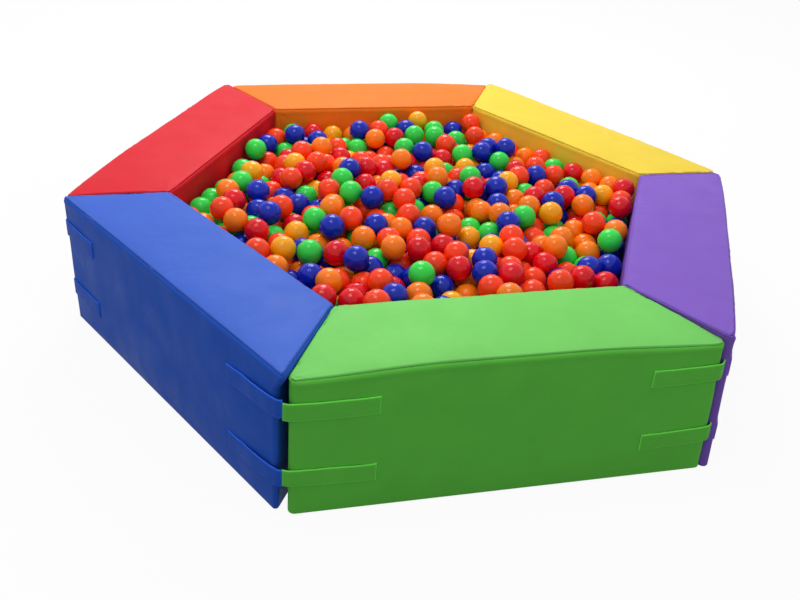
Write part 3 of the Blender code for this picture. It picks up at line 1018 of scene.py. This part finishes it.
def join_strap(piece, block, end, row):
    """Make a strap move with its block; one over a corner or at the open corner stays fixed in the ring."""
    if (block, end) == OPEN_CORNER:
        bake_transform(piece)
        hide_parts(f"{block}_strap_{row}_{end}", f"{block}_strap_anchor_{row}_{end}")
    elif (block, end) in OVER_STRAPS:
        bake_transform(piece)
        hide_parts(f"{block}_strap_{row}_{end}")
    else:
        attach(piece, f"{block}_block")
        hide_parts(f"{block}_strap_{row}_{end}")


# How far a hook tape keeps from its strap's ends, its sizes, and how far it stands off the strap
HOOK_MARGIN = 0.020
HOOK_WIDTH = 0.038
HOOK_THICKNESS = 0.0009
HOOK_GAP = 0.0002


def add_hook_tape(row, cover_sizes, material):
    """The hook tape sewn to the back of a peeling strap."""
    block, end = OPEN_CORNER
    start = ANCHOR_LENGTH + HOOK_MARGIN
    length = strap_length(block, end) - start - HOOK_MARGIN
    bm, along, across, out, _ = strap_grid(length, HOOK_WIDTH, HOOK_THICKNESS, HOOK_THICKNESS / 2)
    out = out - HOOK_THICKNESS - HOOK_GAP
    places = strap_places(block, end, row, along + start, across, out, cover_sizes)
    set_places(bm, places)
    bmesh.ops.recalc_face_normals(bm, faces=bm.faces)
    piece = finish_piece(f"hook_tape_{row}", bm, [material])
    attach(piece, f"{block}_{row}_peel_strap")
    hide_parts(f"{block}_hook_tape_{row}_{end}")


# How far a zip's tape runs past its slot, its sizes and height, its grid lines along and across (their
# spacing, and those by each edge), and its teeth
TAPE_OVERLAP = 0.010
TAPE_WIDTH = 0.026
TAPE_FLOOR = 0.0033
TAPE_THICKNESS = 0.0012
TAPE_ALONG = (0.02, (0, 0.001), (0, 0.001))
TAPE_ACROSS = (0.004, (0, 0.0006), (0, 0.0006))
TEETH_LENGTH = ZIP_LENGTH - 0.006
TOOTH_STEP = 0.0026
TOOTH_RADIUS = 0.0009
TOOTH_WIDTH = 0.0034


def add_zip(block, materials, slider_material):
    """A zip tape with its nylon teeth; the slider on it is the frame's own."""
    half = ZIP_LENGTH / 2 + TAPE_OVERLAP
    lines = (
        spaced(2 * half, *TAPE_ALONG) - half,
        spaced(TAPE_WIDTH, *TAPE_ACROSS) - TAPE_WIDTH / 2,
        np.array((TAPE_FLOOR, TAPE_FLOOR + TAPE_THICKNESS)),
    )
    bm, placed = grid_box(lines)
    set_places(bm, placed)
    count = int(TEETH_LENGTH / TOOTH_STEP)
    upright = Matrix.Rotation(math.pi / 2, 4, "X")
    tooth = {"segments": 6, "radius1": TOOTH_RADIUS, "radius2": TOOTH_RADIUS, "depth": TOOTH_WIDTH}
    for number in range(count):
        x = (number - (count - 1) / 2) * TOOTH_STEP
        place = Matrix.Translation((x, 0.0, TAPE_FLOOR - TOOTH_RADIUS * 0.5)) @ upright
        made = bmesh.ops.create_cone(bm, cap_ends=True, matrix=place, **tooth)
        for face in {face for vert in made["verts"] for face in vert.link_faces}:
            face.material_index = 1
    bmesh.ops.translate(bm, verts=bm.verts, vec=(0.0, WALL / 2, 0.0))
    places = np.array([vert.co for vert in bm.verts])
    set_places(bm, to_world(block, places))
    piece = finish_piece(f"zip_tape_{block}", bm, materials, smooth_angle=40)
    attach(piece, f"{block}_block")
    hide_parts(f"{block}_zip_tape")
    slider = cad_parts[f"{block}_zip_slider"]
    slider.data.materials.clear()
    slider.data.materials.append(slider_material)


# How the balls settle: the rounds of each phase, how far a round sinks them, and how often and by what share
# of its overlap it pushes each pair apart. The pairs are those closer than a share of the diameter, found
# anew after some rounds. Of the random places a share is kept at the middle, and more where the heap leans.
SETTLING = ((300, 0.0030, 3, 0.42), (60, 0.0004, 4, 0.42), (60, 0.0, 6, 0.20))
BALL_WALL_GAP = 0.001
DROP_HEIGHT = 0.95
NEAR_SHARE = 1.3
NEAR_ROUNDS = 4
KEPT_SHARE = 0.7


def as_written(setting):
    """A setting's value without the tail that its single precision adds."""
    return round(setting, 6)


def dropped_balls(rng, count, diameter, lean, walls, room):
    """Random places in the air over the ring, with more of them on the side to which the heap leans."""
    places = np.empty((0, 3))
    reach = SIDE - WALL
    while len(places) < count:
        low, high = (-reach, -reach, diameter / 2), (reach, reach, DROP_HEIGHT)
        tried = rng.uniform(low, high, size=(4 * count, 3))
        kept = rng.uniform(size=len(tried)) < KEPT_SHARE + tried[:, 0] * lean[0] + tried[:, 1] * lean[1]
        for x, y in walls:
            kept &= tried[:, 0] * x + tried[:, 1] * y < room
        places = np.concatenate([places, tried[kept]])
    return places[:count]


def settled_balls(count, diameter, seed, lean, peak):
    """Places of loose balls dropped into the ring, pushed out of one another while the pile sinks.

    Balls that would lie above the peak are left out.
    """
    room = APOTHEM - WALL - CROWN - BALL_WALL_GAP - diameter / 2
    walls = [(math.sin(number * TURN), -math.cos(number * TURN)) for number in range(6)]
    places = dropped_balls(np.random.default_rng(seed), count, diameter, lean, walls, room)
    for rounds, sink, passes, share in SETTLING:
        for number in range(rounds):
            if number % NEAR_ROUNDS == 0:
                square = (places**2).sum(axis=1)
                gaps = square[:, None] + square[None, :] - 2 * places @ places.T
                first, second = np.nonzero(np.triu(gaps < (NEAR_SHARE * diameter) ** 2, 1))
            places[:, 2] -= sink
            for _ in range(passes):
                away = places[first] - places[second]
                reach = np.sqrt((away**2).sum(axis=1))
                push = share * np.maximum(0.0, diameter - reach) / np.maximum(reach, 1e-9)
                shift = away * push[:, None]
                for axis in range(3):
                    places[:, axis] += np.bincount(first, shift[:, axis], count)
                    places[:, axis] -= np.bincount(second, shift[:, axis], count)
                for x, y in walls:
                    past = np.maximum(0.0, places[:, 0] * x + places[:, 1] * y - room)
                    places[:, 0] -= past * x
                    places[:, 1] -= past * y
                places[:, 2] = np.maximum(places[:, 2], diameter / 2)
    return places[places[:, 2] + diameter / 2 < peak]


def ball_mesh(radius):
    """One ball: a cube of four by four faces a side, blown out to a sphere."""
    bm, placed = grid_box([np.linspace(-1, 1, 5)] * 3)
    even = np.tan(placed * math.pi / 4)
    set_places(bm, even / np.linalg.norm(even, axis=1)[:, None] * radius)
    return as_mesh("one ball", bm)


def random_turns(rng, count):
    """Random rotations as matrices."""
    turns = []
    for _ in range(count):
        q = rng.normal(size=4)
        turns.append(np.array(Matrix.Rotation(rng.uniform(0, math.tau), 3, Vector(q[:3]).normalized())))
    return np.array(turns)


def add_balls(name, places, turns, template, material):
    """All the balls of one colour, as one piece."""
    bm = bmesh.new()
    for _ in places:
        bm.from_mesh(template)
    piece = finish_piece(name, bm, [material])
    shape = np.array([vert.co for vert in template.vertices])
    moved = np.einsum("vj,bij->bvi", shape, turns) + places[:, None, :]
    place_vertices(piece, moved)
    carry(piece, "from_mould_line", np.tile(shape[:, 2], len(places)))
    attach(piece, "orange_block")
    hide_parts("ball_fill")


def set_colour(context, name):
    """One of the colours as it is set."""
    return tuple(getattr(context.scene.playpen_colours, name))


class PLAYPEN_OT_covers(bpy.types.Operator):
    """Sew the six covers"""

    bl_idname = "playpen.covers"
    bl_label = "Add covers"

    def execute(self, context):
        for block in BLOCKS:
            # Each cover's top gets a painted sheen, as a share of white
            top_sheen = TOP_SHEEN.get(block, PLAIN_TOP_SHEEN)
            material = vinyl(f"{block} calendered vinyl", set_colour(context, block), top_sheen=top_sheen)
            add_cover(block, context.scene.playpen_covers, material)
        return {"FINISHED"}


class PLAYPEN_OT_cores(bpy.types.Operator):
    """Cut the six foam cores"""

    bl_idname = "playpen.cores"
    bl_label = "Add foam cores"

    def execute(self, context):
        material = foam_material()
        for block in BLOCKS:
            add_core(block, material)
        return {"FINISHED"}


class PLAYPEN_OT_zips(bpy.types.Operator):
    """Put a zip in the underside of each cover"""

    bl_idname = "playpen.zips"
    bl_label = "Add zips"

    def execute(self, context):
        tape = woven_tape("woven polyester zip tape", linear("#26262a"), 0.0009)
        teeth = ball_plastic("moulded nylon zip teeth", linear("#1c1c1f"))
        metal = slider_metal()
        for block in BLOCKS:
            add_zip(block, [tape, teeth], metal)
        return {"FINISHED"}


class PLAYPEN_OT_straps(bpy.types.Operator):
    """Sew the straps to the blocks, with hook tape behind the two that peel"""

    bl_idname = "playpen.straps"
    bl_label = "Add straps"

    def execute(self, context):
        sizes, cover_sizes = context.scene.playpen_straps, context.scene.playpen_covers
        hooks = woven_tape("nylon hook tape", linear("#1b1b1d"), 0.0012)
        for block in BLOCKS:
            colour = set_colour(context, block)
            # The strap cloth has a painted highlight along its folded edges
            cloth = vinyl(f"{block} folded vinyl", colour, edge_highlight=True)
            thread = thread_material(f"{block} sewing thread", colour)
            for end in END_SIGN:
                for row in STRAP_HEIGHTS:
                    piece = add_strap(block, end, row, sizes, cover_sizes, [cloth, thread])
                    join_strap(piece, block, end, row)
        for row in STRAP_HEIGHTS:
            add_hook_tape(row, cover_sizes, hooks)
        return {"FINISHED"}


class PLAYPEN_OT_balls(bpy.types.Operator):
    """Fill the ring with loose balls"""

    bl_idname = "playpen.balls"
    bl_label = "Add balls"

    def execute(self, context):
        sizes = context.scene.playpen_balls
        radius = sizes.diameter / 2
        level, diameter = as_written(sizes.level), as_written(sizes.diameter)
        lean = [as_written(share) for share in sizes.lean]
        room = len(BLOCKS) * (APOTHEM - WALL) ** 2 * math.tan(HALF_TURN) * level
        count = round(room * as_written(sizes.share) / (math.pi / 6 * diameter**3))
        places = settled_balls(count, diameter, sizes.seed, lean, level + as_written(sizes.heap))
        rng = np.random.default_rng(sizes.seed + 1)
        turns = random_turns(rng, len(places))
        chosen = rng.choice(len(BALL_SHARES), size=len(places), p=list(BALL_SHARES.values()))
        template = ball_mesh(radius)
        for number, name in enumerate(BALL_SHARES):
            mine = chosen == number
            material = ball_plastic(f"blown polyethylene {name[5:]}", set_colour(context, name))
            add_balls(f"balls_{name[5:]}", places[mine], turns[mine], template, material)
        bpy.data.meshes.remove(template)
        return {"FINISHED"}


# Where the photo was taken from, and the floor and the softboxes
CAMERA_PLACE = (-0.6884, -2.3085, 1.5053)
CAMERA_TURN = (61.281, -4.008, -13.311)
CAMERA_LENS = 40.195
CAMERA_SHIFT = -0.075
FLOOR_SIZE = 60.0
LAMP_PLACE = (-0.9, -0.6, 3.4)
LAMP_SIZE = 1.5
REAR_LAMP_PLACE = (0.3, 2.8, 3.0)
REAR_LAMP_SIZE = 2.0


def add_softbox(scene, name, place, size, power):
    """A round softbox aimed at the middle of the ring."""
    lamp = bpy.data.lights.new(name, "AREA")
    lamp.shape = "DISK"
    lamp.size = size
    lamp.energy = power
    softbox = bpy.data.objects.new(name, lamp)
    softbox.location = place
    softbox.rotation_euler = (-Vector(place)).to_track_quat("-Z", "Y").to_euler()
    scene.collection.objects.link(softbox)


def add_world(scene, horizon, sky):
    """A plain grey studio all round, which the camera sees as white."""
    world = bpy.data.worlds.new("studio")
    scene.world = world
    world.use_nodes = True
    tree = world.node_tree
    tree.nodes.clear()
    ray = add_node(tree, "ShaderNodeTexCoord").outputs["Generated"]
    height = add_node(tree, "ShaderNodeSeparateXYZ", {0: ray}).outputs["Z"]
    links = {"Value": height, "From Min": 0.2, "From Max": 0.7, "To Min": horizon, "To Max": sky}
    level = add_node(tree, "ShaderNodeMapRange", links, interpolation_type="SMOOTHSTEP").outputs["Result"]
    studio = add_node(tree, "ShaderNodeBackground", {"Color": (1, 1, 1, 1), "Strength": level})
    white = add_node(tree, "ShaderNodeBackground", {"Color": (1, 1, 1, 1), "Strength": 1.0})
    links = {0: background_rays(tree), 1: studio.outputs[0], 2: white.outputs[0]}
    mixed = add_node(tree, "ShaderNodeMixShader", links)
    add_node(tree, "ShaderNodeOutputWorld", {"Surface": mixed.outputs[0]})


def add_camera(scene):
    """The camera, where the photo was taken from."""
    lens = bpy.data.cameras.new("camera")
    lens.lens = CAMERA_LENS
    lens.shift_y = CAMERA_SHIFT
    lens.dof.use_dof = False
    camera = bpy.data.objects.new("camera", lens)
    camera.location = CAMERA_PLACE
    camera.rotation_euler = [math.radians(angle) for angle in CAMERA_TURN]
    scene.collection.objects.link(camera)
    scene.camera = camera


class PLAYPEN_OT_stage(bpy.types.Operator):
    """Lay the floor, and set up the light and the camera"""

    bl_idname = "playpen.stage"
    bl_label = "Add stage"

    def execute(self, context):
        scene = context.scene
        sizes = scene.playpen_stage
        bm = bmesh.new()
        bmesh.ops.create_grid(bm, x_segments=1, y_segments=1, size=FLOOR_SIZE / 2)
        floor = finish_piece("floor", bm, [floor_material(tuple(sizes.floor), sizes.white_share)])
        add_softbox(scene, "overhead softbox", LAMP_PLACE, LAMP_SIZE, sizes.lamp)
        add_softbox(scene, "rear softbox", REAR_LAMP_PLACE, REAR_LAMP_SIZE, sizes.rear_lamp)
        add_world(scene, sizes.horizon, sizes.sky)
        add_camera(scene)
        scene.view_settings.view_transform = "Standard"
        return {"FINISHED"}


class PLAYPEN_PT_parts(bpy.types.Panel):
    """Lists the playpen's pieces and sizes"""

    bl_idname = "PLAYPEN_PT_parts"
    bl_label = "Foam playpen"
    bl_space_type = "VIEW_3D"
    bl_region_type = "UI"
    bl_category = "Playpen"

    def draw(self, context):
        for operator in OPERATORS:
            self.layout.operator(operator.bl_idname)
        for name in SETTINGS:
            box = self.layout.box()
            group = getattr(context.scene, name)
            for size in group.__annotations__:
                box.prop(group, size)


OPERATORS = (
    PLAYPEN_OT_covers,
    PLAYPEN_OT_cores,
    PLAYPEN_OT_zips,
    PLAYPEN_OT_straps,
    PLAYPEN_OT_balls,
    PLAYPEN_OT_stage,
)
SETTINGS = {
    "playpen_covers": CoverSizes,
    "playpen_straps": StrapSizes,
    "playpen_balls": BallSizes,
    "playpen_colours": Colours,
    "playpen_stage": StageSizes,
}


def register():
    """Add the settings, the operators and the panel."""
    for name, group in SETTINGS.items():
        bpy.utils.register_class(group)
        setattr(bpy.types.Scene, name, PointerProperty(type=group))
    for kind in (*OPERATORS, PLAYPEN_PT_parts):
        bpy.utils.register_class(kind)


def unregister():
    """Take away what register added."""
    for kind in (PLAYPEN_PT_parts, *reversed(OPERATORS)):
        bpy.utils.unregister_class(kind)
    for name, group in SETTINGS.items():
        delattr(bpy.types.Scene, name)
        bpy.utils.unregister_class(group)


def main():
    """Make every piece and the stage."""
    register()
    bpy.ops.playpen.covers()
    bpy.ops.playpen.cores()
    bpy.ops.playpen.zips()
    bpy.ops.playpen.straps()
    bpy.ops.playpen.balls()
    bpy.ops.playpen.stage()
    bpy.context.view_layer.update()


if __name__ == "__main__":
    main()
